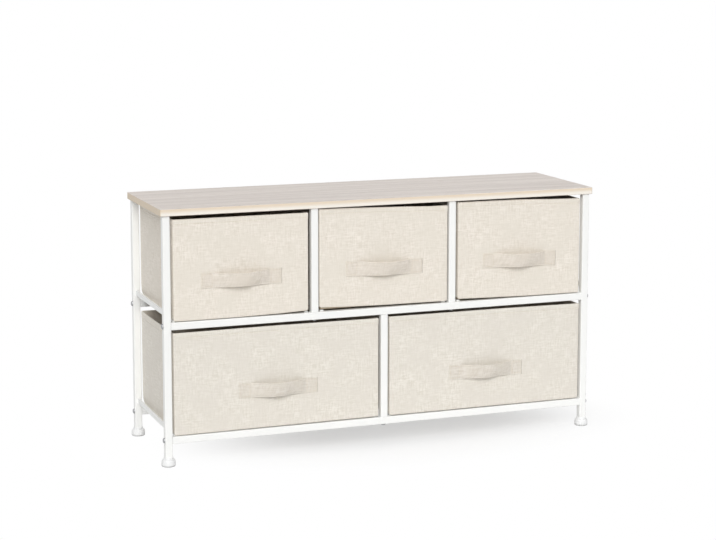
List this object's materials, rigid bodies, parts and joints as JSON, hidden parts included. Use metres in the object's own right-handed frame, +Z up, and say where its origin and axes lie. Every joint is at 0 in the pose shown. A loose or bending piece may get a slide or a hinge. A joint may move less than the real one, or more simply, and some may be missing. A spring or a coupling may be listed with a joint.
{
  "type": "fabric drawer dresser",
  "caption": "Wide low dresser: a slim square-tube steel frame under a laminated board holds fabric drawers with sewn strap pulls, standing on flared feet.",
  "frame": {"origin": "on the floor, under the middle of the whole footprint with pulls and feet counted in", "axes": "+X along the width, to the right seen from the front; -Y is the front, where the drawers pull out; +Z up"},
  "size_m": [1.0028, 0.3089, 0.55],
  "materials": {
    "laminated_board": "pale oak melamine laminate on fibreboard, satin, light edge band",
    "powder_coated_steel": "white powder coat, satin",
    "drawer_fabric": "beige linen-look woven polyester over stiffening",
    "strap_fabric": "the same linen-look fabric, folded and topstitched",
    "stiffening_board": "thin hardboard",
    "foot_plastic": "white moulded polypropylene, satin",
    "plug_plastic": "black moulded nylon",
    "zinc_fixings": "zinc-plated steel"
  },
  "bodies": {
    "frame": {"board_screws": "zinc_fixings", "divider_guide_bar_left": "powder_coated_steel", "divider_guide_bar_low": "powder_coated_steel", "divider_guide_bar_right": "powder_coated_steel", "divider_low_front": "powder_coated_steel", "divider_low_rear": "powder_coated_steel", "divider_pegs": "plug_plastic", "divider_top_bar_left": "powder_coated_steel", "divider_top_bar_right": "powder_coated_steel", "divider_top_left_front": "powder_coated_steel", "divider_top_left_rear": "powder_coated_steel", "divider_top_right_front": "powder_coated_steel", "divider_top_right_rear": "powder_coated_steel", "foot_front_left": "foot_plastic", "foot_front_right": "foot_plastic", "foot_rear_left": "foot_plastic", "foot_rear_right": "foot_plastic", "frame_bolts": "zinc_fixings", "guide_bar_low_left": "powder_coated_steel", "guide_bar_low_right": "powder_coated_steel", "guide_bar_mid_left": "powder_coated_steel", "guide_bar_mid_right": "powder_coated_steel", "post_front_left": "powder_coated_steel", "post_front_right": "powder_coated_steel", "post_rear_left": "powder_coated_steel", "post_rear_right": "powder_coated_steel", "rail_low_front": "powder_coated_steel", "rail_low_rear": "powder_coated_steel", "rail_mid_front": "powder_coated_steel", "rail_mid_rear": "powder_coated_steel", "runners_low_left": "powder_coated_steel", "runners_low_right": "powder_coated_steel", "runners_top_left": "powder_coated_steel", "runners_top_middle": "powder_coated_steel", "runners_top_right": "powder_coated_steel", "threaded_inserts": "plug_plastic", "top_bar_left": "powder_coated_steel", "top_bar_right": "powder_coated_steel", "top_board": "laminated_board"},
    "drawer_top_left": {"drawer_top_left_bin": "drawer_fabric", "drawer_top_left_front_board": "stiffening_board", "drawer_top_left_base_board": "stiffening_board", "drawer_top_left_pull": "strap_fabric"},
    "drawer_top_middle": {"drawer_top_middle_bin": "drawer_fabric", "drawer_top_middle_front_board": "stiffening_board", "drawer_top_middle_base_board": "stiffening_board", "drawer_top_middle_pull": "strap_fabric"},
    "drawer_top_right": {"drawer_top_right_bin": "drawer_fabric", "drawer_top_right_front_board": "stiffening_board", "drawer_top_right_base_board": "stiffening_board", "drawer_top_right_pull": "strap_fabric"},
    "drawer_low_left": {"drawer_low_left_bin": "drawer_fabric", "drawer_low_left_front_board": "stiffening_board", "drawer_low_left_base_board": "stiffening_board", "drawer_low_left_pull": "strap_fabric"},
    "drawer_low_right": {"drawer_low_right_bin": "drawer_fabric", "drawer_low_right_front_board": "stiffening_board", "drawer_low_right_base_board": "stiffening_board", "drawer_low_right_pull": "strap_fabric"}
  },
  "joints": [
    {"name": "drawer_top_left_slide", "type": "slide", "parent": "frame", "child": "drawer_top_left", "axis": [0, -1, 0], "range_m": [0, 0.23]},
    {"name": "drawer_top_middle_slide", "type": "slide", "parent": "frame", "child": "drawer_top_middle", "axis": [0, -1, 0], "range_m": [0, 0.23]},
    {"name": "drawer_top_right_slide", "type": "slide", "parent": "frame", "child": "drawer_top_right", "axis": [0, -1, 0], "range_m": [0, 0.23]},
    {"name": "drawer_low_left_slide", "type": "slide", "parent": "frame", "child": "drawer_low_left", "axis": [0, -1, 0], "range_m": [0, 0.23]},
    {"name": "drawer_low_right_slide", "type": "slide", "parent": "frame", "child": "drawer_low_right", "axis": [0, -1, 0], "range_m": [0, 0.23]}
  ]
}
